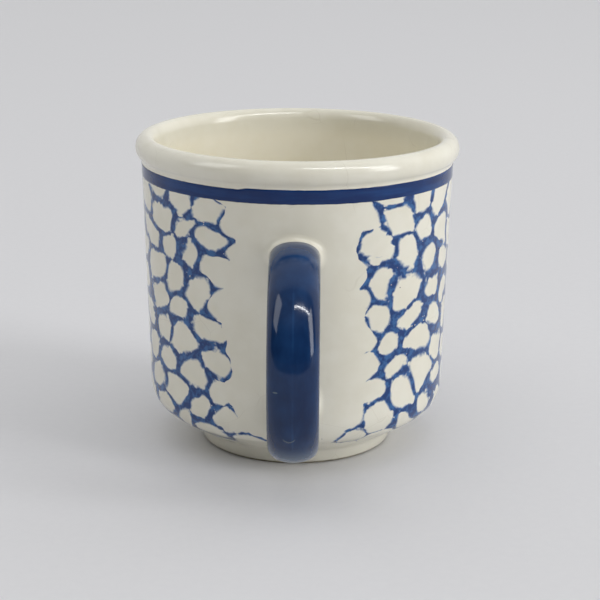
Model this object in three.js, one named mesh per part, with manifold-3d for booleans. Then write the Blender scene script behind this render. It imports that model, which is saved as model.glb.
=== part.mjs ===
// Stoneware mug with a rolled rim, a turned foot ring and one ear-shaped handle luted to the wall.
// Millimetres, +Z up. The mug stands on z = 0 and its handle points along -Y. The origin is the
// centre of the whole mug's footprint, handle included, so the cup's own axis lies at y = cupY.
import * as THREE from "three";
import { mergeVertices } from "three/addons/utils/BufferGeometryUtils.js";
import Module from "manifold-3d";

const wasm = await Module();
wasm.setup();

// Cup: outside sizes, measured over the glaze
const mugHeight = 88;
const wallTopRadius = 43.4;
const wallTaper = 1.8;
const rimOverhang = 1.6;
const rimCrestInset = 3.1;
const rimRollHeight = 6.8;
const bellyHeight = 17.5;
const bellyRadius = 9;
const footShoulderRadius = 28.2;
const footRadius = 26.7;
const footHeight = 4.4;

// Cup: inside sizes, measured over the glaze
const wallThickness = 4;
const floorHeight = 8.2;
const floorCornerRadius = 14;

// Underside
const footRingWidth = 3.2;
const recessDepth = 2.4;
const recessSlope = 0.8;

// Painted band round the wall: how far its top lies below the rim, and its own height
const bandDrop = 7.2;
const bandHeight = 3.9;

// Handle: an ear of oval section. Its middle line is given as [share of the reach, share of the
// height], from inside the wall at the top, round the ear, to inside the wall at the bottom.
const handleReach = 32;
const handleTopDrop = 20.4;
const handleLowHeight = 11.9;
const handleWidth = 13.2;
const handleThickness = 8.8;
const handleCourse = [
  [-0.3, 1],
  [0, 1],
  [0.36, 0.985],
  [0.74, 0.87],
  [0.96, 0.66],
  [1, 0.44],
  [0.9, 0.21],
  [0.64, 0.045],
  [0.36, 0],
  [0.06, 0.07],
  [-0.25, 0.22],
];

// Slip joints between the handle's ends and the wall
const slipThickness = 1.2;
const slipCollar = 1.6;

// Coats of glaze, and the clearances that keep neighbouring pieces apart
const glazeThickness = 0.5;
const coatGap = 0.1;
const fitGap = 0.3;
const glazeFootLine = 0.6;

// Fineness
const turnSteps = 48;
const ovalSteps = 16;
const handleSteps = 26;

const clayInset = glazeThickness + coatGap;
const wallLowRadius = wallTopRadius - wallTaper;
const rimRadius = wallTopRadius + rimOverhang;
const rimCrestRadius = rimRadius - rimCrestInset;
const bandTop = mugHeight - bandDrop;
const cupY = (wallTopRadius + handleReach - rimRadius) / 2;

const clayMaterial = new THREE.MeshStandardMaterial({ color: 0xcdbf9f, roughness: 0.8 });
const slipMaterial = new THREE.MeshStandardMaterial({ color: 0xe0d9c4, roughness: 0.7 });
const creamGlaze = new THREE.MeshStandardMaterial({ color: 0xe6e1cd, roughness: 0.15 });
const blueGlaze = new THREE.MeshStandardMaterial({ color: 0x26457e, roughness: 0.12 });
const bandPaint = new THREE.MeshStandardMaterial({ color: 0x2f4f86, roughness: 0.2 });

const mug = new THREE.Group();

// Shared tools

// Points along an elliptical arc, from one angle to the other, in the (radius, height) plane.
function arc(centreR, centreZ, sizeR, sizeZ, from, to, steps) {
  const points = [];
  for (let i = 0; i <= steps; i += 1) {
    const angle = from + ((to - from) * i) / steps;
    points.push(
      new THREE.Vector2(centreR + sizeR * Math.cos(angle), centreZ + sizeZ * Math.sin(angle)),
    );
  }
  return points;
}

// The outline moved sideways by a distance: to the left of its direction of travel if positive.
function moved(outline, distance) {
  return outline.map((point, i) => {
    const before = outline[Math.max(i - 1, 0)];
    const after = outline[Math.min(i + 1, outline.length - 1)];
    const along = i > 0 ? point.clone().sub(before) : after.clone().sub(point);
    const next = i < outline.length - 1 ? after.clone().sub(point) : along.clone();
    const first = new THREE.Vector2(-along.y, along.x).normalize();
    const second = new THREE.Vector2(-next.y, next.x).normalize();
    const middle = first.clone().add(second).normalize();
    return point.clone().addScaledVector(middle, distance / middle.dot(first));
  });
}

// A turned solid: the outline runs up the outside, so its faces point out.
function turned(outline) {
  const geometry = new THREE.LatheGeometry(outline, turnSteps);
  geometry.rotateX(Math.PI / 2);
  geometry.translate(0, cupY, 0);
  return geometry;
}

// A closed coat between two outlines that run the same way.
function coat(outer, inner) {
  return turned([...outer, ...inner.slice().reverse(), outer[0].clone()]);
}

function toSolid(geometry) {
  const bare = geometry.clone();
  bare.deleteAttribute("normal");
  bare.deleteAttribute("uv");
  const welded = mergeVertices(bare, 1e-4);
  return new wasm.Manifold(
    new wasm.Mesh({
      numProp: 3,
      vertProperties: new Float32Array(welded.attributes.position.array),
      triVerts: new Uint32Array(welded.index.array),
    }),
  );
}

function toGeometry(solid) {
  const mesh = solid.getMesh();
  const geometry = new THREE.BufferGeometry();
  geometry.setAttribute("position", new THREE.BufferAttribute(mesh.vertProperties, 3));
  geometry.setIndex(new THREE.BufferAttribute(mesh.triVerts, 1));
  geometry.computeVertexNormals();
  return geometry;
}

function addPiece(name, geometry, material) {
  const piece = new THREE.Mesh(geometry, material);
  piece.name = name;
  mug.add(piece);
}

// The cup's outlines, as (radius, height) over the glaze

const point = (radius, height) => new THREE.Vector2(radius, height);
const rollHalf = rimRollHeight / 2;
const rollMiddle = mugHeight - rollHalf;
const rollStart = -Math.acos((wallTopRadius - rimCrestRadius) / rimCrestInset);
const rollBase = rollMiddle + rollHalf * Math.sin(rollStart);
const wallSlope = (wallTopRadius - wallLowRadius) / (rollBase - bellyHeight);
const wallPoint = (height) => point(wallLowRadius + wallSlope * (height - bellyHeight), height);

// The belly is an arc under the wall that runs on as a straight slope to the top of the foot.
function bellyOutline() {
  const centre = point(wallLowRadius - bellyRadius, bellyHeight);
  const toFoot = point(footShoulderRadius, footHeight).sub(centre);
  const turn = Math.acos(bellyRadius / toFoot.length());
  const leave = Math.atan2(toFoot.y, toFoot.x) + turn;
  return arc(centre.x, centre.y, bellyRadius, bellyRadius, leave, 0, 6);
}

// From the crest of the rim, down the inside of the wall and across the floor to the axis.
function insideOutline() {
  const mouth = wallTopRadius - wallThickness;
  const low = wallLowRadius - wallThickness;
  const lip = arc(
    rimCrestRadius, rollMiddle, rimCrestRadius - mouth, rollHalf, Math.PI / 2, Math.PI, 5,
  );
  const corner = arc(
    low - floorCornerRadius, floorHeight + floorCornerRadius,
    floorCornerRadius, floorCornerRadius, 0, -Math.PI / 2, 7,
  );
  return [...lip.slice(1), ...corner, point(0, floorHeight)];
}

const bandLow = bandTop - bandHeight;
const footLineRadius =
  footRadius + ((footShoulderRadius - footRadius) * glazeFootLine) / footHeight;
const belly = bellyOutline();
const roll = arc(
  rimCrestRadius, rollMiddle, rimCrestInset, rollHalf, rollStart, Math.PI / 2, 8,
);

const wallSkin = [
  point(footLineRadius, glazeFootLine),
  point(footShoulderRadius, footHeight),
  ...belly,
  wallPoint(bandLow - coatGap),
];
const bandSkin = [wallPoint(bandLow), wallPoint(bandTop - coatGap)];
const linerSkin = [wallPoint(bandTop), ...roll, ...insideOutline()];
const recessSkin = [
  point(0, recessDepth),
  point(footRadius - footRingWidth - recessSlope, recessDepth),
  point(footRadius - footRingWidth, 0),
];

// Cup body: wall, rolled rim, floor and foot ring in one piece of clay

const ground = (outline, i) => outline.map((p, k) => (k === i ? point(p.x, 0) : p));
const clayRecess = ground(moved(recessSkin, clayInset), recessSkin.length - 1);
const clayOutside = ground(
  moved(
    [
      point(footRadius, 0),
      point(footShoulderRadius, footHeight),
      ...belly,
      ...roll,
      ...insideOutline(),
    ],
    clayInset,
  ),
  0,
);
addPiece("cup_body", turned([...clayRecess, ...clayOutside]), clayMaterial);

// Coats on the cup

// The liner covers the inside and rolls over the rim down to the band.
const linerBack = moved(linerSkin, glazeThickness);
addPiece("liner_glaze", turned([...linerBack.reverse(), ...linerSkin]), creamGlaze);

addPiece("rim_band", coat(bandSkin, moved(bandSkin, glazeThickness)), bandPaint);

const baseSkin = [
  recessSkin[0],
  recessSkin[1],
  recessSkin[1].clone().lerp(recessSkin[2], 0.6),
];
addPiece(
  "base_glaze",
  turned([...baseSkin, ...moved(baseSkin, glazeThickness).reverse()]),
  creamGlaze,
);

// Handle

const handleMiddleReach = handleReach - handleThickness / 2;
const handleLow = handleLowHeight + handleThickness / 2;
const handleRise = mugHeight - handleTopDrop - handleLowHeight - handleThickness;
const handlePath = new THREE.CatmullRomCurve3(
  handleCourse.map(([reach, rise]) => new THREE.Vector3(
    0, cupY - wallTopRadius - reach * handleMiddleReach, handleLow + rise * handleRise,
  )),
  false,
  "centripetal",
);

// The handle's oval section, grown or shrunk all round, carried along its middle line.
function handleSweep(growth) {
  const oval = new THREE.Shape();
  for (let i = 0; i < ovalSteps; i += 1) {
    const angle = (2 * Math.PI * i) / ovalSteps;
    const across = (handleWidth / 2 + growth) * Math.cos(angle);
    const deep = (handleThickness / 2 + growth) * Math.sin(angle);
    if (i === 0) oval.moveTo(across, deep);
    else oval.lineTo(across, deep);
  }
  oval.closePath();
  return toSolid(
    new THREE.ExtrudeGeometry(oval, { steps: handleSteps, extrudePath: handlePath }),
  );
}

// Everything inside the cup's outer surface, moved out by a distance from the bare clay.
function cupBlock(distance) {
  const side = moved(
    [point(footShoulderRadius, footHeight), ...belly, wallPoint(bandLow)],
    clayInset - distance,
  );
  const bottom = point(0, side[0].y);
  const top = point(0, side[side.length - 1].y);
  return toSolid(turned([bottom, ...side, top]));
}

const slipTop = fitGap + slipThickness;
const rootClearance = cupBlock(slipTop + fitGap);
const handleClay = handleSweep(-clayInset).subtract(rootClearance);
addPiece("handle", toGeometry(handleClay), clayMaterial);

const handleCoat = handleSweep(0).subtract(rootClearance).subtract(handleSweep(-glazeThickness));
addPiece("handle_glaze", toGeometry(handleCoat), blueGlaze);

// Slip joints: pads of fired slip that bed the handle's two ends on the wall

const slipShell = cupBlock(slipTop).subtract(cupBlock(fitGap));
const slipPads = handleSweep(slipCollar).intersect(slipShell).decompose();
const byHeight = (a, b) => a.boundingBox().min[2] - b.boundingBox().min[2];
const [lowerPad, upperPad] = slipPads.sort(byHeight);
addPiece("upper_slip_joint", toGeometry(upperPad), slipMaterial);
addPiece("lower_slip_joint", toGeometry(lowerPad), slipMaterial);

// The outer coat runs from the foot to the band and stays clear of the two slip joints.
const wallCoat = toSolid(coat(wallSkin, moved(wallSkin, glazeThickness)));
const wallGlaze = wallCoat.subtract(handleSweep(slipCollar + fitGap));
addPiece("wall_glaze", toGeometry(wallGlaze), creamGlaze);

export default mug;
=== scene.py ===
from math import acos, atan2, cos, hypot, pi, radians, sin, sqrt

import bmesh
import bpy
from mathutils import Matrix, Vector, noise


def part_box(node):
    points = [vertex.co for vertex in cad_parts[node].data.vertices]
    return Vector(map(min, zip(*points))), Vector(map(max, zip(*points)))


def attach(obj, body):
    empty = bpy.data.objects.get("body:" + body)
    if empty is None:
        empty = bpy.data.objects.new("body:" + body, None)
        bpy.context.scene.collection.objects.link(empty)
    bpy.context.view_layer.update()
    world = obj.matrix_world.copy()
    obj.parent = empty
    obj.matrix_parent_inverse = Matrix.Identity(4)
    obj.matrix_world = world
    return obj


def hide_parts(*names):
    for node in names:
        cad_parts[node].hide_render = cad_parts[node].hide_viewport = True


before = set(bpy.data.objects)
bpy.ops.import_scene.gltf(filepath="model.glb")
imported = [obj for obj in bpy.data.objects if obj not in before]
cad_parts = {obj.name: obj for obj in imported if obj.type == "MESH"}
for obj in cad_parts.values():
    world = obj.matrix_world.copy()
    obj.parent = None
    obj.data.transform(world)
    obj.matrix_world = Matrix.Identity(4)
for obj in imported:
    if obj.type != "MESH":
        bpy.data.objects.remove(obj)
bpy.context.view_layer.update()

mm = 0.001

# Where the frame puts the cup: its axis, its rim and the pieces that fix the outline
linerLow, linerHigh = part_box("liner_glaze")
bandLow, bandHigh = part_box("rim_band")
handleLow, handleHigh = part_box("handle_glaze")
cupY = (linerLow.y + linerHigh.y) / 2


cup = {
    "height": linerHigh.z,
    "rimRadius": linerHigh.x,
    "crestInset": 3.1 * mm,      # from the widest point of the roll in to its crest
    "rollHeight": 6.8 * mm,
    "wallRadius": bandHigh.x,    # at the top edge of the band
    "wallTaper": 1.8 * mm,
    "bellyHeight": 17.5 * mm,
    "bellyRadius": 9 * mm,
    "footShoulder": 28.2 * mm,
    "footRadius": 26.7 * mm,
    "footHeight": 4.4 * mm,
    "glazeLine": 0.55 * mm,      # bare clay shows below this
    "wall": 4 * mm,
    "floor": 8.2 * mm,
    "floorCorner": 14 * mm,
    "ringWidth": 3.2 * mm,
    "recess": 2.4 * mm,
    "recessSlope": 0.8 * mm,
    "bandTop": bandHigh.z,
    "bandLow": bandLow.z,
    "coat": 0.5 * mm,
    "gap": 0.1 * mm,
    "waver": 0.10 * mm,          # how far a hand-turned pot is out of true
}


def arc(centre, size, start, end, steps):
    points = []
    for i in range(steps + 1):
        a = start + (end - start) * i / steps
        points.append((centre[0] + size[0] * cos(a), centre[1] + size[1] * sin(a)))
    return points


def run(a, b, steps):
    return [(a[0] + (b[0] - a[0]) * i / steps, a[1] + (b[1] - a[1]) * i / steps)
            for i in range(steps + 1)]


def bend(a, corner, b, steps):  # a soft corner between two runs
    points = []
    for i in range(steps + 1):
        t = i / steps
        points.append(tuple((1 - t) ** 2 * a[k] + 2 * t * (1 - t) * corner[k] + t * t * b[k]
                            for k in (0, 1)))
    return points


def along(a, b, distance):  # the point that far from a on the way to b
    length = hypot(b[0] - a[0], b[1] - a[1])
    return tuple(a[k] + (b[k] - a[k]) * distance / length for k in (0, 1))


def joined(*runs):  # runs end to end, with no point twice
    points = []
    for part in runs:
        for p in part:
            if not points or hypot(p[0] - points[-1][0], p[1] - points[-1][1]) > 1e-6:
                points.append(p)
    return points


def offset(outline, distance):  # to the left of the way the outline runs
    moved = []
    last = len(outline) - 1
    for i, p in enumerate(outline):
        before, after = outline[max(i - 1, 0)], outline[min(i + 1, last)]
        dx, dy = after[0] - before[0], after[1] - before[1]
        length = hypot(dx, dy)
        moved.append((max(p[0] - dy / length * distance, 0), p[1] + dx / length * distance))
    return moved


rollHalf = cup["rollHeight"] / 2
rollMiddle = cup["height"] - rollHalf
crest = cup["rimRadius"] - cup["crestInset"]
wallTop = cup["wallRadius"]
rollStart = -acos((wallTop - crest) / cup["crestInset"])
rollBase = rollMiddle + rollHalf * sin(rollStart)
wallBottom = wallTop - cup["wallTaper"]


def wallAt(z):
    share = (z - cup["bellyHeight"]) / (rollBase - cup["bellyHeight"])
    return (wallBottom + (wallTop - wallBottom) * share, z)


def bellyOutline():
    centre = (wallBottom - cup["bellyRadius"], cup["bellyHeight"])
    dr, dz = cup["footShoulder"] - centre[0], cup["footHeight"] - centre[1]
    leave = atan2(dz, dr) + acos(cup["bellyRadius"] / hypot(dr, dz))
    return arc(centre, (cup["bellyRadius"],) * 2, leave, 0, 28)


belly = bellyOutline()
shoulder = (cup["footShoulder"], cup["footHeight"])
footEdge = (cup["footRadius"], 0)
seam = cup["bandTop"] - 1.6 * mm      # liner and wall coat meet here, under the band

footSide = bend(along(shoulder, footEdge, 1.4 * mm), shoulder,
                along(shoulder, belly[0], 1.4 * mm), 8)
wallOutline = joined(
    run(along(footEdge, shoulder, cup["glazeLine"]), footSide[0], 6), footSide,
    run(footSide[-1], belly[0], 8), belly,
    run(belly[-1], wallAt(seam), 90))

rollArc = arc((crest, rollMiddle), (cup["crestInset"], rollHalf), rollStart + 0.35, pi / 2, 30)
underRoll = bend(wallAt(rollBase - 0.9 * mm), wallAt(rollBase), rollArc[0], 8)
mouth = wallTop - cup["wall"]
lip = arc((crest, rollMiddle), (crest - mouth, rollHalf), pi / 2, pi, 20)
innerLow = wallBottom - cup["wall"]
corner = arc((innerLow - cup["floorCorner"], cup["floor"] + cup["floorCorner"]),
             (cup["floorCorner"],) * 2, 0, -pi / 2, 20)
linerOutline = joined(run(wallAt(seam), underRoll[0], 4), underRoll, rollArc, lip,
                      run(lip[-1], corner[0], 60), corner,
                      run(corner[-1], (0, cup["floor"]), 24))


def finishMesh(name, builder):
    bmesh.ops.remove_doubles(builder, verts=builder.verts, dist=1e-7)
    bmesh.ops.recalc_face_normals(builder, faces=builder.faces)
    data = bpy.data.meshes.new(name)
    builder.to_mesh(data)
    builder.free()
    data.shade_smooth()
    piece = bpy.data.objects.new(name, data)
    bpy.context.scene.collection.objects.link(piece)
    return piece


def turned(name, outline, around=240, shape=None):  # a closed outline, swept round the axis
    builder = bmesh.new()
    rings = []
    for r, z in outline:
        ring = []
        for k in range(around if r > 1e-7 else 1):
            a = 2 * pi * k / around
            rr, zz = shape(r, z, a) if shape else (r, z)
            ring.append(builder.verts.new((rr * sin(a), cupY + rr * cos(a), zz)))
        rings.append(ring)
    for low, high in zip(rings, rings[1:] + rings[:1]):
        for k in range(around):
            n = (k + 1) % around
            corners = [low[k % len(low)], low[n % len(low)],
                       high[n % len(high)], high[k % len(high)]]
            corners = list(dict.fromkeys(corners))
            if len(corners) > 2:
                builder.faces.new(corners)
    return finishMesh(name, builder)


def waver(a, z, size, amount, seed=0.0):  # slow unevenness round the pot
    spot = Vector((cos(a) * size, sin(a) * size, z * 1000 / 40 + seed))
    return noise.noise(spot) * amount


def potShape(r, z, a):  # hand-turned, so not quite true
    return r + waver(a, z, 1.1, cup["waver"]) * min(r / (20 * mm), 1), z


def closedCoat(outline, thickness):
    return joined(outline, offset(outline, thickness)[::-1])


wallGlaze = turned("wallGlaze", closedCoat(wallOutline, cup["coat"]), shape=potShape)
linerGlaze = turned("linerGlaze", closedCoat(linerOutline, cup["coat"]), shape=potShape)
print("cup coats", len(wallGlaze.data.vertices), len(linerGlaze.data.vertices))

band = {
    "proud": 0.06 * mm,
    "thick": 0.25 * mm,
    "softEdge": 0.25 * mm,
    "edgeWaver": 0.16 * mm,
    "brushStart": radians(197),   # where the brush overlaps its own start
    "brushStep": 0.48 * mm,
    "stepTurn": 0.05,             # radians from the old stroke's edge to the new one's
}


def bandShape(r, z, a):
    low = z < (cup["bandLow"] + cup["bandTop"]) / 2
    drift = waver(a, 0, 2.2, band["edgeWaver"], 7.0 if low else 3.0)
    drift += waver(a, 0, 24, band["edgeWaver"] * 0.4, 1.0 if low else 5.0)
    turn = (a - band["brushStart"]) % (2 * pi)
    climb = 0.5 - min(turn / band["stepTurn"], 1) + turn / (2 * pi)
    lift = 0 if low else band["brushStep"] * climb
    return r + waver(a, z, 1.1, cup["waver"]), z + drift + lift


def bandOutline():
    low, high, edge = cup["bandLow"], cup["bandTop"], band["softEdge"]
    face = run(wallAt(low + edge), wallAt(high - edge), 10)
    face = [(r + band["proud"], z) for r, z in face]
    ends = [(wallAt(z)[0] - 0.02 * mm, z) for z in (low, high)]
    inner = [(r - band["thick"], z) for r, z in (wallAt(high - edge), wallAt(low + edge))]
    return joined(ends[:1], face, ends[1:]) + inner


rimBand = turned("rimBand", bandOutline(), 480, bandShape)

ringInner = cup["footRadius"] - cup["ringWidth"]
recessEdge = ringInner - cup["recessSlope"]
recessOutline = joined(
    run((0, cup["recess"]), (recessEdge - 1 * mm, cup["recess"]), 12),
    bend((recessEdge - 1 * mm, cup["recess"]), (recessEdge, cup["recess"]),
         (ringInner - 0.3 * mm, 0.9 * mm), 6))


def clayOutline():  # behind the coats, and seen only as the ring that the mug stands on
    inset = cup["coat"] + cup["gap"]
    under = offset(recessOutline, inset)
    inner = ringInner + inset
    outer = cup["footRadius"] - 0.15 * mm
    ring = joined(bend((inner, 0.5 * mm), (inner, 0), (inner + 0.5 * mm, 0), 4),
                  bend((outer - 0.5 * mm, 0), (outer, 0), (outer, 0.5 * mm), 4))
    body = offset(joined(wallOutline[10:], linerOutline), inset)
    return joined(under, ring, body)


cupClay = turned("cupClay", clayOutline())
baseGlaze = turned("baseGlaze", closedCoat(recessOutline, cup["coat"]))
print("cup clay, band and base", len(cupClay.data.vertices), len(rimBand.data.vertices))


handle = {
    "outer": handleLow.y,
    "top": handleHigh.z,
    "low": handleLow.z,
    "width": handleHigh.x * 2,
    "thick": 8.8 * mm,
    "course": [(-0.3, 1), (0, 1), (0.36, 0.985), (0.74, 0.87), (0.96, 0.66), (1, 0.44),
               (0.9, 0.21), (0.64, 0.045), (0.36, 0), (0.06, 0.07), (-0.25, 0.22)],
    "squareness": 2.15,
    "seamWidth": 0.5 * mm,
    "seamHeight": 0.07 * mm,
    "tuck": 1.8 * mm,         # how deep it starts in the cup's wall
    "collar": 2.2 * mm,       # how far the slip spreads on the wall
    "collarRise": 1.7 * mm,   # how far it climbs the handle
    "collarRagged": 0.12,     # how much both vary on the way round
    "collarSink": 0.03 * mm,  # its edge goes just under the face of the wall
    "collarDepth": 0.4 * mm,
    "collarLip": 0.04 * mm,   # how far it stands off the handle where it ends
}


def smoothCourse(points, steps):  # a soft curve through all the points but the two ends
    curve = []
    for i in range(1, len(points) - 2):
        p = [Vector((0, *q)) for q in points[i - 1:i + 3]]
        t = [0.0]
        for a, b in zip(p, p[1:]):
            t.append(t[-1] + (b - a).length ** 0.5)
        for k in range(steps):
            u = t[1] + (t[2] - t[1]) * k / steps
            rows = list(p)
            for level in (1, 2, 3):
                rows = [rows[j] * ((t[j + level] - u) / (t[j + level] - t[j]))
                        + rows[j + 1] * ((u - t[j]) / (t[j + level] - t[j]))
                        for j in range(4 - level)]
            curve.append(rows[0])
    curve.append(Vector((0, *points[-2])))
    return curve


def handleCourse():
    wallY = cupY - wallTop
    reach = wallY - handle["outer"] - handle["thick"] / 2
    low = handle["low"] + handle["thick"] / 2
    rise = handle["top"] - handle["low"] - handle["thick"]
    points = [(wallY - share * reach, low + up * rise) for share, up in handle["course"]]
    first = tuple(2 * a - b for a, b in zip(points[0], points[1]))
    last = tuple(2 * a - b for a, b in zip(points[-1], points[-2]))
    return smoothCourse([first, *points, last], 18)


course = handleCourse()
ovalSteps = 72


def courseFrame(i):
    before, after = course[max(i - 1, 0)], course[min(i + 1, len(course) - 1)]
    ahead = (after - before).normalized()
    return course[i], Vector((0, -ahead.z, ahead.y))   # the second points out of the ear


def rail(i, a, growth=0.0):  # a point on the handle's skin, or that far outside it
    centre, out = courseFrame(i)
    power = 2 / handle["squareness"]
    c, s = cos(a), sin(a)
    across = (handle["width"] / 2 + growth) * abs(c) ** power * (1 if c > 0 else -1)
    deep = (handle["thick"] / 2 + growth) * abs(s) ** power * (1 if s > 0 else -1)
    bead = handle["seamHeight"] * max(0, 1 - (across / handle["seamWidth"]) ** 2) if s > 0 else 0
    return centre + Vector((across, 0, 0)) + out * (deep + bead)


def outlineRadius(z):  # the cup's outside at that height, before it wavers
    last = wallOutline[0]
    for p in wallOutline:
        if p[1] >= z:
            share = (z - last[1]) / max(p[1] - last[1], 1e-9)
            return last[0] + (p[0] - last[0]) * share
        last = p
    return last[0]


def outside(p):  # how far a point is outside the cup's wall
    wall = potShape(outlineRadius(p.z), p.z, atan2(p.x, p.y - cupY))[0]
    return hypot(p.x, p.y - cupY) - wall


def crossing(a, growth, fromTop, depth=0.0):  # where that line comes within a depth of the wall
    order = range(len(course)) if fromTop else range(len(course) - 1, -1, -1)
    previous = rail(order[0], a, growth)
    for i in order[1:]:
        p = rail(i, a, growth)
        before, after = outside(previous) + depth, outside(p) + depth
        if after > 0:
            return previous.lerp(p, before / (before - after)), i
        previous = p


def beyond(a, growth, start, i, distance, fromTop):  # further along the same line
    step = 1 if fromTop else -1
    here, left = start, distance
    while left > 0:
        nextPoint = rail(i, a, growth)
        length = (nextPoint - here).length
        if length >= left:
            return here.lerp(nextPoint, left / length)
        left -= length
        here = nextPoint
        i += step
    return here


def handleGlazeMesh():  # from inside the cup's wall, round the ear and back into it
    builder = bmesh.new()
    rings = [[] for _ in course]
    for k in range(ovalSteps):
        a = 2 * pi * k / ovalSteps
        start, first = crossing(a, 0, True, handle["tuck"])
        end, last = crossing(a, 0, False, handle["tuck"])
        for i, ring in enumerate(rings):
            p = start if i < first else end if i > last else rail(i, a)
            ring.append(builder.verts.new(p))
    for low, high in zip(rings, rings[1:]):
        for k in range(ovalSteps):
            n = (k + 1) % ovalSteps
            builder.faces.new((low[k], low[n], high[n], high[k]))
    builder.faces.new(rings[0])
    builder.faces.new(rings[-1])
    return finishMesh("handleGlaze", builder)


def slipMesh(name, fromTop):
    builder = bmesh.new()
    rings = []
    for k in range(ovalSteps):
        a = 2 * pi * k / ovalSteps
        spot = Vector((cos(a) * 1.5, sin(a) * 1.5, 9 if fromTop else 2))
        ragged = 1 + handle["collarRagged"] * noise.noise(spot)
        foot, _ = crossing(a, handle["collar"] * ragged, fromTop)
        root, j = crossing(a, 0, fromTop)
        rise = handle["collarRise"] * ragged
        top = beyond(a, handle["collarLip"], root, j, rise, fromTop)
        inward = Vector((-foot.x, cupY - foot.y, 0)).normalized()
        foot = foot + inward * handle["collarSink"]
        curve = [foot * (1 - t) ** 2 + root * 2 * t * (1 - t) + top * t * t
                 for t in (q / 12 for q in range(13))]
        middle = courseFrame(j)[0]
        deeper = inward * handle["collarDepth"]
        inner = [top.lerp(middle, 0.12), root.lerp(middle, 0.12) + deeper, foot + deeper]
        rings.append([builder.verts.new(p) for p in curve + inner])
    for k in range(ovalSteps):
        one, two = rings[k], rings[(k + 1) % ovalSteps]
        for q in range(len(one)):
            r = (q + 1) % len(one)
            builder.faces.new((one[q], two[q], two[r], one[r]))
    return finishMesh(name, builder)


handleGlaze = handleGlazeMesh()
upperSlip = slipMesh("upperSlip", True)
lowerSlip = slipMesh("lowerSlip", False)
print("handle", len(handleGlaze.data.vertices), "slip", len(upperSlip.data.vertices))


def addNode(tree, kind, **settings):
    made = tree.nodes.new(kind)
    for key, value in settings.items():
        setattr(made, key, value)
    return made


def plug(tree, socket, value):
    if isinstance(value, bpy.types.NodeSocket):
        tree.links.new(value, socket)
    else:
        socket.default_value = value


def maths(tree, operation, *values, clamp=False):
    made = addNode(tree, "ShaderNodeMath", operation=operation, use_clamp=clamp)
    for socket, value in zip(made.inputs, values):
        plug(tree, socket, value)
    return made.outputs[0]


def vectorMaths(tree, operation, *values):
    made = addNode(tree, "ShaderNodeVectorMath", operation=operation)
    for socket, value in zip(made.inputs, values):
        plug(tree, socket, value)
    return made.outputs[0]


def smooth(tree, value, low, high, toLow=0.0, toHigh=1.0):
    made = addNode(tree, "ShaderNodeMapRange", interpolation_type="SMOOTHSTEP")
    for name, v in (("Value", value), ("From Min", low), ("From Max", high),
                    ("To Min", toLow), ("To Max", toHigh)):
        plug(tree, made.inputs[name], v)
    return made.outputs["Result"]


def noiseAt(tree, vector, scale, detail=2.0, roughness=0.5, colour=False):
    made = addNode(tree, "ShaderNodeTexNoise", noise_dimensions="3D")
    plug(tree, made.inputs["Vector"], vector)
    made.inputs["Scale"].default_value = scale
    made.inputs["Detail"].default_value = detail
    made.inputs["Roughness"].default_value = roughness
    return made.outputs["Color" if colour else "Fac"]


def cellsAt(tree, vector, scale, feature="F1"):
    made = addNode(tree, "ShaderNodeTexVoronoi", feature=feature, voronoi_dimensions="3D")
    plug(tree, made.inputs["Vector"], vector)
    made.inputs["Scale"].default_value = scale
    return made.outputs["Distance"]


def warped(tree, vector, scale, amount, detail=2.0):
    swirl = vectorMaths(tree, "SUBTRACT", noiseAt(tree, vector, scale, detail, 0.5, True),
                        (0.5, 0.5, 0.5))
    push = addNode(tree, "ShaderNodeVectorMath", operation="MULTIPLY_ADD")
    plug(tree, push.inputs[0], swirl)
    plug(tree, push.inputs[1], (amount * 2,) * 3)
    plug(tree, push.inputs[2], vector)
    return push.outputs[0]


def mixed(tree, factor, a, b):
    made = addNode(tree, "ShaderNodeMix", data_type="RGBA")
    plug(tree, made.inputs[0], factor)
    plug(tree, made.inputs[6], a)
    plug(tree, made.inputs[7], b)
    return made.outputs[2]


def newGroup(name, inputs, outputs):
    tree = bpy.data.node_groups.new(name, "ShaderNodeTree")
    for label, kind, value in inputs:
        made = tree.interface.new_socket(label, in_out="INPUT", socket_type=kind)
        if value is not None:
            made.default_value = value
    for label, kind in outputs:
        tree.interface.new_socket(label, in_out="OUTPUT", socket_type=kind)
    return tree, addNode(tree, "NodeGroupInput"), addNode(tree, "NodeGroupOutput")


def place(tree, group, **values):
    made = addNode(tree, "ShaderNodeGroup", node_tree=group)
    for label, value in values.items():
        plug(tree, made.inputs[label], value)
    return made


# Fired glaze: slow pooling, craze lines, orange peel and iron specks. Places are in millimetres.
fired = {
    "pools": 0.035,                 # a small scale makes wide pools
    "crazing": 0.055,
    "crazeLine": (0.0022, 0.0055),
    "crazeDepth": 0.006,
    "crazeSeen": (0.50, 0.62),      # the tones between which a patch comes to show it
    "specks": 0.11,
    "speckSize": (0.060, 0.014),    # the largest, and what is taken off them all
    "orangePeel": 0.012,
    "swell": 0.09,
    "roughness": (0.11, 0.12),      # at its smoothest, and what the roughest adds
}


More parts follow.
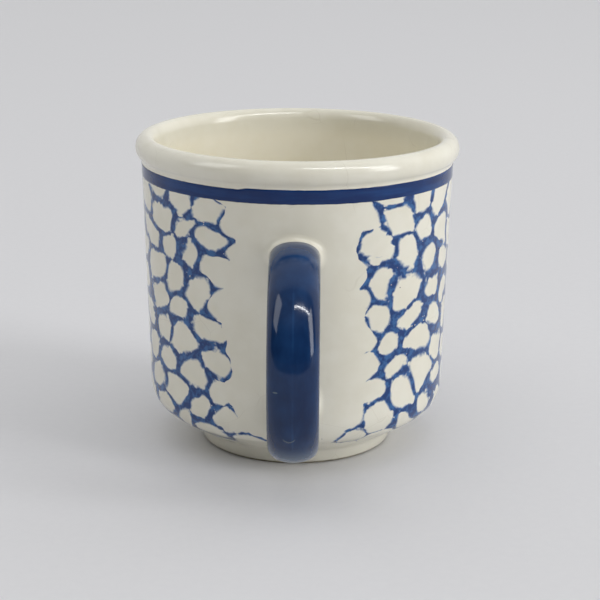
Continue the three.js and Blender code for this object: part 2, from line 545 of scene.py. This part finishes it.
def glazeGroup():
    tree, given, out = newGroup(
        "firedGlaze",
        [("Place", "NodeSocketVector", None), ("Crackle", "NodeSocketFloat", 1.0),
         ("Specks", "NodeSocketFloat", 1.0)],
        [("Pool", "NodeSocketFloat"), ("Crackle", "NodeSocketFloat"),
         ("Speck", "NodeSocketFloat"), ("Height", "NodeSocketFloat"),
         ("Roughness", "NodeSocketFloat")])
    at = given.outputs["Place"]
    pool = maths(tree, "ADD", maths(tree, "MULTIPLY", noiseAt(tree, at, fired["pools"], 3), 0.7),
                 maths(tree, "MULTIPLY", noiseAt(tree, at, 0.22, 2), 0.3))
    curved = warped(tree, at, 0.05, 4.0)
    craze = cellsAt(tree, curved, fired["crazing"], "DISTANCE_TO_EDGE")
    line = smooth(tree, craze, *fired["crazeLine"], 1.0, 0.0)
    seen = smooth(tree, noiseAt(tree, at, 0.06, 2), *fired["crazeSeen"])
    line = maths(tree, "MULTIPLY", maths(tree, "MULTIPLY", line, seen), given.outputs["Crackle"])
    largest, less = fired["speckSize"]
    size = maths(tree, "MULTIPLY", noiseAt(tree, at, 0.7, 0), largest)
    spots = cellsAt(tree, at, fired["specks"])
    speck = maths(tree, "LESS_THAN", spots, maths(tree, "SUBTRACT", size, less))
    speck = maths(tree, "MULTIPLY", speck, given.outputs["Specks"])
    orange = maths(tree, "MULTIPLY", noiseAt(tree, at, 0.55, 2), fired["orangePeel"])
    swell = maths(tree, "MULTIPLY", noiseAt(tree, at, 0.09, 2), fired["swell"])
    height = maths(tree, "SUBTRACT", maths(tree, "ADD", orange, swell),
                   maths(tree, "MULTIPLY", line, fired["crazeDepth"]))
    least, more = fired["roughness"]
    rough = maths(tree, "ADD", least, maths(tree, "MULTIPLY", noiseAt(tree, at, 0.4, 3), more))
    for label, value in (("Pool", pool), ("Crackle", line), ("Speck", speck),
                         ("Height", height), ("Roughness", rough)):
        plug(tree, out.inputs[label], value)
    return tree


# The sponged net: rounded bare cells with pigment between them. Flat places in millimetres,
# measured round the wall from the back of the cup and up it from the foot.
sponge = {
    "pitch": (11.2, 9.0, 10.0),   # round the wall, up it, and how little the bends fatten strands
    "tilt": radians(-17),   # of the rows of cells
    "shift": (-60.0, 22.0),
    "line": 0.101,          # half a strand's width, as a share of the pitch
    "roundness": 0.74,      # nought gives six-sided cells, one gives discs
    "bleed": 0.060,         # how softly the pigment ends in the glaze
    "panelHalf": 21.6,      # half of the plain panel behind the handle
    "panelFoot": 9.0,
    "netFoot": 7.0,         # no cell's middle lies lower than this
    "wobble": 13.0,         # how far the panel's edge wanders
    "edgeCell": 0.09,       # how much thinner the strands of a cell past that edge are
    # how the rows are bent: scale, amount and detail, from the slowest to the finest
    "bends": ((0.055, 3.8, 0), (0.15, 1.9, 0), (0.45, 0.34, 1), (1.5, 0.17, 1)),
    # what thins or thickens a strand: scale, detail, the tones it works between, thinnest, thickest
    "patches": (0.075, 2, 0.36, 0.66, -0.020, 0.035),
    "breaks": (0.30, 2, 0.28, 0.52, -0.085, 0.010),
    "cells": (6.3, 0, 0.30, 0.70, -0.035, 0.040),
    # pinholes in a strand, and how large they are from place to place
    "holes": 0.85,
    "holeSize": (0.20, 1, 0.50, 0.75, -0.06, 0.20),
    "core": (0.0, 0.085, 0.30, 1.0),        # darkest along a strand's middle
    "wash": (0.36, 0.56, 0.35, 1.0),
}


def outOfPanel(tree, flat, wobble, slack, softness):  # one on the net, nought in the panel
    parts = addNode(tree, "ShaderNodeSeparateXYZ")
    plug(tree, parts.inputs[0], flat)
    across, up = parts.outputs[0], parts.outputs[1]
    sideways = maths(tree, "SUBTRACT", pi * wallTop * 1000, maths(tree, "ABSOLUTE", across))
    sideways = maths(tree, "ADD", sideways, wobble)
    panel = smooth(tree, up, 6.0, 20.0, sponge["panelFoot"], sponge["panelHalf"])
    side = smooth(tree, maths(tree, "SUBTRACT", sideways, panel), -slack, softness - slack)
    foot = smooth(tree, up, sponge["netFoot"] - slack, sponge["netFoot"] - slack + 0.6)
    return maths(tree, "MULTIPLY", side, foot)


def patchy(tree, vector, look):
    scale, detail, *span = look
    return smooth(tree, noiseAt(tree, vector, scale, detail), *span)


def turnedFlat(tree, vector, angle):
    made = addNode(tree, "ShaderNodeVectorRotate", rotation_type="Z_AXIS")
    plug(tree, made.inputs["Vector"], vector)
    made.inputs["Angle"].default_value = angle
    return made.outputs[0]


def honeycomb(tree, at):  # at is in pitches; gives the place within the cell, as a vector
    half = (0.5, sqrt(3) / 2, 1)
    within = []
    for start in ((0, 0, 0), (0.5, sqrt(3) / 2, 0)):
        moved = vectorMaths(tree, "SUBTRACT", at, start)
        within.append(vectorMaths(tree, "WRAP", moved, half, tuple(-h for h in half)))
    near = [addNode(tree, "ShaderNodeVectorMath", operation="LENGTH") for _ in within]
    for node, local in zip(near, within):
        plug(tree, node.inputs[0], local)
    second = maths(tree, "LESS_THAN", near[1].outputs["Value"], near[0].outputs["Value"])
    pick = addNode(tree, "ShaderNodeMix", data_type="VECTOR")
    plug(tree, pick.inputs[0], second)
    plug(tree, pick.inputs[4], within[0])
    plug(tree, pick.inputs[5], within[1])
    reach = maths(tree, "MINIMUM", near[0].outputs["Value"], near[1].outputs["Value"])
    return pick.outputs[1], reach


def spongeGroup():
    tree, given, out = newGroup(
        "spongedNet", [("Flat", "NodeSocketVector", None)],
        [("Ink", "NodeSocketFloat"), ("Strength", "NodeSocketFloat")])
    flat = given.outputs["Flat"]
    at = vectorMaths(tree, "ADD", flat, (*sponge["shift"], 0))
    bent = at
    for look in sponge["bends"]:
        bent = warped(tree, bent, *look)
    grid = turnedFlat(tree, vectorMaths(tree, "DIVIDE", bent, sponge["pitch"]), sponge["tilt"])
    local, disc = honeycomb(tree, grid)
    seed = vectorMaths(tree, "SUBTRACT", grid, local)
    size = addNode(tree, "ShaderNodeSeparateXYZ")
    plug(tree, size.inputs[0], vectorMaths(tree, "ABSOLUTE", local))
    slant = maths(tree, "ADD", maths(tree, "MULTIPLY", size.outputs[0], 0.5),
                  maths(tree, "MULTIPLY", size.outputs[1], sqrt(3) / 2))
    hexagon = maths(tree, "MAXIMUM", size.outputs[0], slant)
    cell = maths(tree, "ADD", maths(tree, "MULTIPLY", hexagon, 1 - sponge["roundness"]),
                 maths(tree, "MULTIPLY", disc, sponge["roundness"]))
    width = sponge["line"]
    for key, spot in (("cells", seed), ("patches", at), ("breaks", at)):
        width = maths(tree, "ADD", width, patchy(tree, spot, sponge[key]))
    depth = maths(tree, "SUBTRACT", cell, maths(tree, "SUBTRACT", 0.5, width))
    wander = maths(tree, "SUBTRACT", noiseAt(tree, at, 0.11, 1), 0.5)
    wobble = maths(tree, "MULTIPLY", wander, sponge["wobble"])
    home = turnedFlat(tree, seed, -sponge["tilt"])
    home = vectorMaths(tree, "MULTIPLY", home, sponge["pitch"])
    home = vectorMaths(tree, "SUBTRACT", home, (*sponge["shift"], 0))
    ownCell = outOfPanel(tree, home, wobble, 0.0, 0.3)
    ownPlace = outOfPanel(tree, flat, wobble, 4.0, 1.5)
    edge = sponge["edgeCell"]
    thinner = maths(tree, "ADD", maths(tree, "MULTIPLY", ownCell, edge), ownPlace)
    depth = maths(tree, "ADD", depth, maths(tree, "SUBTRACT", thinner, 1 + edge))
    ink = smooth(tree, depth, -sponge["bleed"] * 0.4, sponge["bleed"])
    holeSize = patchy(tree, at, sponge["holeSize"])
    holes = maths(tree, "SUBTRACT", cellsAt(tree, bent, sponge["holes"]), holeSize)
    ink = maths(tree, "MULTIPLY", ink, smooth(tree, holes, 0.0, 0.06))
    wash = smooth(tree, noiseAt(tree, at, 0.42, 4, 0.62), *sponge["wash"])
    core = smooth(tree, depth, *sponge["core"])
    strength = maths(tree, "MULTIPLY", core, wash)
    plug(tree, out.inputs["Ink"], ink)
    plug(tree, out.inputs["Strength"], strength)
    return tree


firedGlaze = glazeGroup()
spongedNet = spongeGroup()


def newMaterial(name):
    material = bpy.data.materials.new(name)
    material.use_nodes = True
    tree = material.node_tree
    shader = tree.nodes["Principled BSDF"]
    coordinates = addNode(tree, "ShaderNodeTexCoord").outputs["Object"]
    place3d = vectorMaths(tree, "SCALE", coordinates)
    place3d.node.inputs["Scale"].default_value = 1000
    return material, tree, shader, place3d


def bumped(tree, shader, height, distance):
    bump = addNode(tree, "ShaderNodeBump")
    bump.inputs["Distance"].default_value = distance
    plug(tree, bump.inputs["Height"], height)
    plug(tree, shader.inputs["Normal"], bump.outputs["Normal"])


cream = {
    "thin": (0.795, 0.765, 0.645, 1),
    "thick": (0.845, 0.820, 0.710, 1),
    # painted bounce light: the glaze down in the cup paler and warmer than on the rim
    "bounceLitThin": (0.890, 0.846, 0.700, 1),
    "bounceLitThick": (0.920, 0.884, 0.760, 1),
    "bounceLitFrom": (9.0, 3.0),    # below the rim: all of the painted bounce light, and none of it
    "crackle": (0.50, 0.45, 0.34, 1),
    "speck": (0.10, 0.10, 0.12, 1),
}


def creamBase(tree, at, specks=1.0, thin=cream["thin"], thick=cream["thick"]):
    glaze = place(tree, firedGlaze, Place=at, Crackle=1.0, Specks=specks)
    tone = smooth(tree, glaze.outputs["Pool"], 0.38, 0.62)
    colour = mixed(tree, tone, thin, thick)
    colour = mixed(tree, maths(tree, "MULTIPLY", glaze.outputs["Crackle"], 0.20), colour,
                   cream["crackle"])
    colour = mixed(tree, glaze.outputs["Speck"], colour, cream["speck"])
    return glaze, colour


def creamGlaze(name, specks=1.0, bounceLit=False):
    material, tree, shader, at = newMaterial(name)
    thin, thick = cream["thin"], cream["thick"]
    if bounceLit:  # painted bounce light: paler and warmer down in the cup than over the rim
        parts = addNode(tree, "ShaderNodeSeparateXYZ")
        plug(tree, parts.inputs[0], at)
        low, high = (cup["height"] * 1000 - drop for drop in cream["bounceLitFrom"])
        down = smooth(tree, parts.outputs[2], low, high, 1.0, 0.0)
        thin = mixed(tree, down, thin, cream["bounceLitThin"])
        thick = mixed(tree, down, thick, cream["bounceLitThick"])
    glaze, colour = creamBase(tree, at, specks, thin, thick)
    plug(tree, shader.inputs["Base Color"], colour)
    plug(tree, shader.inputs["Roughness"], glaze.outputs["Roughness"])
    shader.inputs["IOR"].default_value = 1.52
    bumped(tree, shader, glaze.outputs["Height"], mm)
    return material


printBlue = {
    "pale": (0.045, 0.175, 0.430, 1),
    "deep": (0.002, 0.036, 0.170, 1),
    "raised": 0.01,
    "underFoot": 0.45,   # how far the net is drawn in where the wall turns under
}


def printedGlaze():
    material, tree, shader, at = newMaterial("printedGlaze")
    glaze, colour = creamBase(tree, at)
    parts = addNode(tree, "ShaderNodeSeparateXYZ")
    plug(tree, parts.inputs[0], vectorMaths(tree, "SUBTRACT", at, (0, cupY * 1000, 0)))
    x, y, z = parts.outputs
    turn = maths(tree, "ARCTAN2", x, y)                 # nought at the back of the cup
    radius = maths(tree, "SQRT", maths(tree, "ADD", maths(tree, "MULTIPLY", x, x),
                                       maths(tree, "MULTIPLY", y, y)))
    tuck = maths(tree, "SUBTRACT", wallBottom * 1000, radius)
    tuck = maths(tree, "MULTIPLY", tuck, printBlue["underFoot"])
    flat = addNode(tree, "ShaderNodeCombineXYZ")
    plug(tree, flat.inputs[0], maths(tree, "MULTIPLY", turn, wallTop * 1000))
    plug(tree, flat.inputs[1], maths(tree, "SUBTRACT", z, maths(tree, "MAXIMUM", tuck, 0.0)))
    net = place(tree, spongedNet, Flat=flat.outputs[0])
    blue = mixed(tree, net.outputs["Strength"], printBlue["pale"], printBlue["deep"])
    colour = mixed(tree, net.outputs["Ink"], colour, blue)
    plug(tree, shader.inputs["Base Color"], colour)
    plug(tree, shader.inputs["Roughness"], glaze.outputs["Roughness"])
    shader.inputs["IOR"].default_value = 1.5
    height = maths(tree, "ADD", glaze.outputs["Height"],
                   maths(tree, "MULTIPLY", net.outputs["Ink"], printBlue["raised"]))
    bumped(tree, shader, height, mm)
    return material


cobalt = {
    "deep": (0.0042, 0.0190, 0.072, 1),
    "thin": (0.0170, 0.0660, 0.190, 1),
    "bandDeep": (0.0015, 0.0220, 0.115, 1),
    "bandThin": (0.0140, 0.0850, 0.290, 1),
    "wornAndFloorReflection": (0.095, 0.135, 0.180, 1),   # thinnest of all, where the clay grins through at the drip and the nick; at the ear's foot it is painted reflection of the floor
    "shine": 0.34,
    "smoother": 0.055,                  # than the cream
    # where the glaze lies thin on the handle: off its seam and up its crest; down at its foot the
    # paler tone is painted reflection of the floor
    "seamThin": (0.05, 0.42, 0.30, 0.0),
    "crestThin": (57.0, 66.0, 0.0, 0.35),
    "footFloorReflection": (13.0, 21.0, 1.0, 0.0),
    "footReflectionGrey": (14.0, 21.0, 0.70, 0.0),
    "drip": {"middle": (-0.9, 24.6), "size": (1.6, 1.7)},   # across, up; low on the ear's front
    "nick": {"middle": (-4.3, 36.9), "size": (0.75, 0.30)},
}


def awayFrom(tree, x, z, mark):  # nought at the mark's middle, one on its edge
    dx, dz = (maths(tree, "DIVIDE", maths(tree, "SUBTRACT", value, middle), size)
              for value, middle, size in zip((x, z), mark["middle"], mark["size"]))
    return maths(tree, "SQRT", maths(tree, "ADD", maths(tree, "MULTIPLY", dx, dx),
                                     maths(tree, "MULTIPLY", dz, dz)))


def marksOnEar(tree, x, z):  # the lower edge of a drip, and a nick
    edge = maths(tree, "SUBTRACT", awayFrom(tree, x, z, cobalt["drip"]), 1.0)
    ring = maths(tree, "ABSOLUTE", edge)
    drip = maths(tree, "MULTIPLY", smooth(tree, ring, 0.0, 0.20, 1.0, 0.0),
                 smooth(tree, z, 23.2, 24.2, 0.70, 0.0))
    nick = smooth(tree, awayFrom(tree, x, z, cobalt["nick"]), 0.6, 1.0, 1.0, 0.0)
    return drip, nick


def cobaltGlaze(name, deep, thin, pale, flow, seamed=False):  # flow stretches the brush's streaks
    material, tree, shader, at = newMaterial(name)
    glaze = place(tree, firedGlaze, Place=at, Crackle=0.4, Specks=0.0)
    streaks = noiseAt(tree, vectorMaths(tree, "MULTIPLY", at, flow), 1.0, 4, 0.6)
    tone = maths(tree, "ADD", maths(tree, "MULTIPLY", glaze.outputs["Pool"], 0.5),
                 maths(tree, "MULTIPLY", streaks, 0.5))
    tone = smooth(tree, tone, 0.40, 0.68, 0.0, pale)
    height = glaze.outputs["Height"]
    if seamed:
        parts = addNode(tree, "ShaderNodeSeparateXYZ")
        plug(tree, parts.inputs[0], at)
        x, _, z = parts.outputs
        seamTone = smooth(tree, maths(tree, "ABSOLUTE", x), *cobalt["seamThin"])
        seamTone = maths(tree, "MULTIPLY", seamTone, smooth(tree, streaks, 0.40, 0.62))
        # thin glaze up the crest, and painted reflection of the floor at the ear's foot
        thinner = maths(tree, "MAXIMUM", smooth(tree, z, *cobalt["crestThin"]),
                        smooth(tree, z, *cobalt["footFloorReflection"]))
        tone = maths(tree, "ADD", tone, maths(tree, "MAXIMUM", seamTone, thinner), clamp=True)
        drip, nick = marksOnEar(tree, x, z)
        # painted reflection of the floor greys the ear's foot; the drip and the nick are real thin
        # places
        wornAndFloorReflection = smooth(tree, z, *cobalt["footReflectionGrey"])
        wornAndFloorReflection = maths(tree, "MAXIMUM", wornAndFloorReflection, maths(tree, "MAXIMUM", drip, nick))
        height = maths(tree, "ADD", height, maths(tree, "MULTIPLY", drip, 0.2))
    colour = mixed(tree, tone, cobalt[deep], cobalt[thin])
    if seamed:
        colour = mixed(tree, wornAndFloorReflection, colour, cobalt["wornAndFloorReflection"])
    plug(tree, shader.inputs["Base Color"], colour)
    plug(tree, shader.inputs["Roughness"],
         maths(tree, "SUBTRACT", glaze.outputs["Roughness"], cobalt["smoother"]))
    shader.inputs["Specular IOR Level"].default_value = cobalt["shine"]
    bumped(tree, shader, height, mm)
    return material


clayLook = {
    "dark": (0.30, 0.25, 0.16, 1),
    "pale": (0.46, 0.40, 0.28, 1),
    "stain": (0.19, 0.15, 0.09, 1),
    "grain": 0.12 * mm,
}


def bareClay():
    material, tree, shader, at = newMaterial("bareClay")
    grain = noiseAt(tree, at, 2.4, 5, 0.65)
    stain = noiseAt(tree, at, 0.12, 3)
    colour = mixed(tree, smooth(tree, grain, 0.35, 0.65), clayLook["dark"], clayLook["pale"])
    colour = mixed(tree, smooth(tree, stain, 0.48, 0.64, 0.0, 0.55), colour, clayLook["stain"])
    plug(tree, shader.inputs["Base Color"], colour)
    plug(tree, shader.inputs["Roughness"], smooth(tree, grain, 0.2, 0.8, 0.72, 0.92))
    bumped(tree, shader, grain, clayLook["grain"])
    return material


creamInside = creamGlaze("creamGlaze", bounceLit=True)
slipCream = creamGlaze("slipCream", 0.0)
printed = printedGlaze()
handleBlue = cobaltGlaze("handleBlue", "deep", "thin", 0.5, (0.12, 0.12, 0.03), seamed=True)
bandBlue = cobaltGlaze("bandBlue", "bandDeep", "bandThin", 0.5, (0.05, 0.05, 0.6))
clay = bareClay()
print("materials made")

finishes = [
    (wallGlaze, printed, "printed_glaze", ["wall_glaze"]),
    (linerGlaze, creamInside, "cream_glaze", ["liner_glaze"]),
    (rimBand, bandBlue, "band_blue", ["rim_band"]),
    (cupClay, clay, "bare_clay", ["cup_body"]),
    (baseGlaze, creamInside, "cream_glaze", ["base_glaze"]),
    (handleGlaze, handleBlue, "handle_blue", ["handle_glaze"]),
    (upperSlip, slipCream, "slip", ["upper_slip_joint"]),
    (lowerSlip, slipCream, "slip", ["lower_slip_joint"]),
]
for piece, material, slot, nodes in finishes:
    piece.data.materials.append(material)
    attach(piece, "root")
    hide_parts(*nodes)
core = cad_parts["handle"]       # the clay inside the handle's glaze
core.data.materials.clear()
core.data.materials.append(clay)


table = {
    "rings": (0.5, 1.5, 4, 9),   # radii, in metres
    "around": 64,
    "dark": (0.70, 0.70, 0.72, 1),
    "pale": (0.73, 0.73, 0.745, 1),
    "roughness": 0.85,
}


def paleFloor():
    builder = bmesh.new()
    around = table["around"]
    turns = [2 * pi * k / around for k in range(around)]
    rings = [[builder.verts.new((r * cos(a), r * sin(a), 0)) for a in turns]
             for r in table["rings"]]
    builder.faces.new(rings[0])
    for low, high in zip(rings, rings[1:]):
        for k in range(around):
            n = (k + 1) % around
            builder.faces.new((low[k], high[k], high[n], low[n]))
    floor = finishMesh("paleFloor", builder)
    material, tree, shader, at = newMaterial("paperFloor")
    plug(tree, shader.inputs["Base Color"],
         mixed(tree, noiseAt(tree, at, 0.4, 4), table["dark"], table["pale"]))
    shader.inputs["Roughness"].default_value = table["roughness"]
    floor.data.materials.append(material)
    print("floor laid")


paleFloor()

view = {
    "distance": 0.4703,        # level distance from the cup's axis
    "height": 0.1717,
    "round": radians(0.61),
    "aim": (1.02 * mm, 39.6 * mm),   # where the middle of the view meets the axis's plane
    "roll": 0.0070,
    "lens": 102.5,
}


def addCamera():
    data = bpy.data.cameras.new("viewer")
    data.lens = view["lens"]
    data.sensor_width = 36
    data.clip_start = 0.01
    camera = bpy.data.objects.new("viewer", data)
    bpy.context.scene.collection.objects.link(camera)
    turn = Matrix.Rotation(view["round"], 3, "Z")
    axis = Vector((0, cupY, 0))
    eye = axis + turn @ Vector((0, -view["distance"], view["height"]))
    aim = axis + turn @ Vector((view["aim"][0], 0, view["aim"][1]))
    facing = (aim - eye).to_track_quat("-Z", "Y").to_matrix()
    facing = facing @ Matrix.Rotation(view["roll"], 3, "Z")
    camera.matrix_world = Matrix.Translation(eye) @ facing.to_4x4()
    bpy.context.scene.camera = camera


# Windows stand by degrees round from the viewer and up from the floor; powers are in watts
studio = {
    "rightWindow": {"turn": 65, "rise": 21, "away": 2.6, "size": (0.80, 1.7), "power": 27.0},
    "leftWindow": {"turn": -68, "rise": 39, "away": 2.6, "size": (1.00, 1.50), "power": 15.0},
    "ceilingTube": {"from": (0.07, -1.07, 1.8), "to": (2.0, -1.07, 1.8), "width": 0.05,
                    "power": 22.0},
    "backWall": 0.68,
    "rightWall": 0.95,
    "ceiling": 1.31,      # over the viewer's side
    "ceilingGlint": 0.22,  # the same, as the glaze mirrors it
    "dimRoom": 0.10,      # under it, down to the floor
    "dimGlint": 0.02,
    "tableEdge": -0.33,   # past it the glaze mirrors a dim floor
    "cardHalf": 3.0,      # half of that floor's width
    "cardFar": -3.3,
    "cardColour": (0.08, 0.08, 0.085, 1),
    "backdrop": (0.60, 0.60, 0.615, 1),   # what the camera sees past the floor
}


def addLight(name, spot, aim, size, power):
    data = bpy.data.lights.new(name, "AREA")
    data.shape = "RECTANGLE"
    data.size, data.size_y = size
    data.energy = power
    light = bpy.data.objects.new(name, data)
    light.location = spot
    light.rotation_euler = (Vector(aim) - Vector(spot)).to_track_quat("-Z", "Y").to_euler()
    bpy.context.scene.collection.objects.link(light)
    return light


def addWindow(name):
    window = studio[name]
    turn, rise = radians(window["turn"]), radians(window["rise"])
    level = window["away"] * cos(rise)
    spot = (level * sin(turn), cupY - level * cos(turn), window["away"] * sin(rise))
    return addLight(name, spot, (0, cupY, 0.05), window["size"], window["power"])


def addTube(name):  # only its glint in the glaze counts; its light is in the ceiling's
    tube = studio[name]
    a, b = Vector(tube["from"]), Vector(tube["to"])
    middle = (a + b) / 2
    light = addLight(name, middle, middle - Vector((0, 0, 1)), ((b - a).length, tube["width"]),
                     tube["power"])
    light.rotation_euler = (0, 0, 0)
    light.visible_diffuse = False


def addWorld():
    world = bpy.data.worlds.new("softRoom")
    world.use_nodes = True
    tree = world.node_tree
    parts = addNode(tree, "ShaderNodeSeparateXYZ")
    plug(tree, parts.inputs[0], addNode(tree, "ShaderNodeTexCoord").outputs["Generated"])
    x, y, z = parts.outputs
    path = addNode(tree, "ShaderNodeLightPath")
    mirrored = path.outputs["Is Glossy Ray"]
    overhead = smooth(tree, mirrored, 0, 1, studio["ceiling"], studio["ceilingGlint"])
    level = smooth(tree, mirrored, 0, 1, studio["dimRoom"], studio["dimGlint"])
    ceiling = smooth(tree, z, 0.50, 0.75, level, overhead)
    back = smooth(tree, x, 0.5, 0.8, studio["backWall"], studio["rightWall"])
    behind = smooth(tree, y, -0.12, 0.10)
    room = maths(tree, "ADD", maths(tree, "MULTIPLY", behind, back),
                 maths(tree, "MULTIPLY", maths(tree, "SUBTRACT", 1.0, behind), ceiling))
    seen = mixed(tree, path.outputs["Is Camera Ray"], room, studio["backdrop"])
    plug(tree, tree.nodes["Background"].inputs["Color"], seen)
    bpy.context.scene.world = world


def addDimCard():  # the dim room beyond the table's edge, seen only in the glaze
    builder = bmesh.new()
    half, far, edge = studio["cardHalf"], studio["cardFar"], studio["tableEdge"]
    corners = (-half, far), (half, far), (half, edge), (-half, edge)
    builder.faces.new([builder.verts.new((x, y, 1 * mm)) for x, y in corners])
    card = finishMesh("dimCard", builder)
    material, _, shader, _ = newMaterial("dimCard")
    shader.inputs["Base Color"].default_value = studio["cardColour"]
    card.data.materials.append(material)
    card.visible_camera = False
    card.visible_diffuse = False
    card.visible_shadow = False


addCamera()
addWindow("rightWindow")
addWindow("leftWindow").visible_diffuse = False   # a pale wall that only shows in the glaze
addTube("ceilingTube")
addWorld()
addDimCard()
bpy.context.scene.view_settings.view_transform = "Standard"
print("camera and lights set")

print("scene ready")
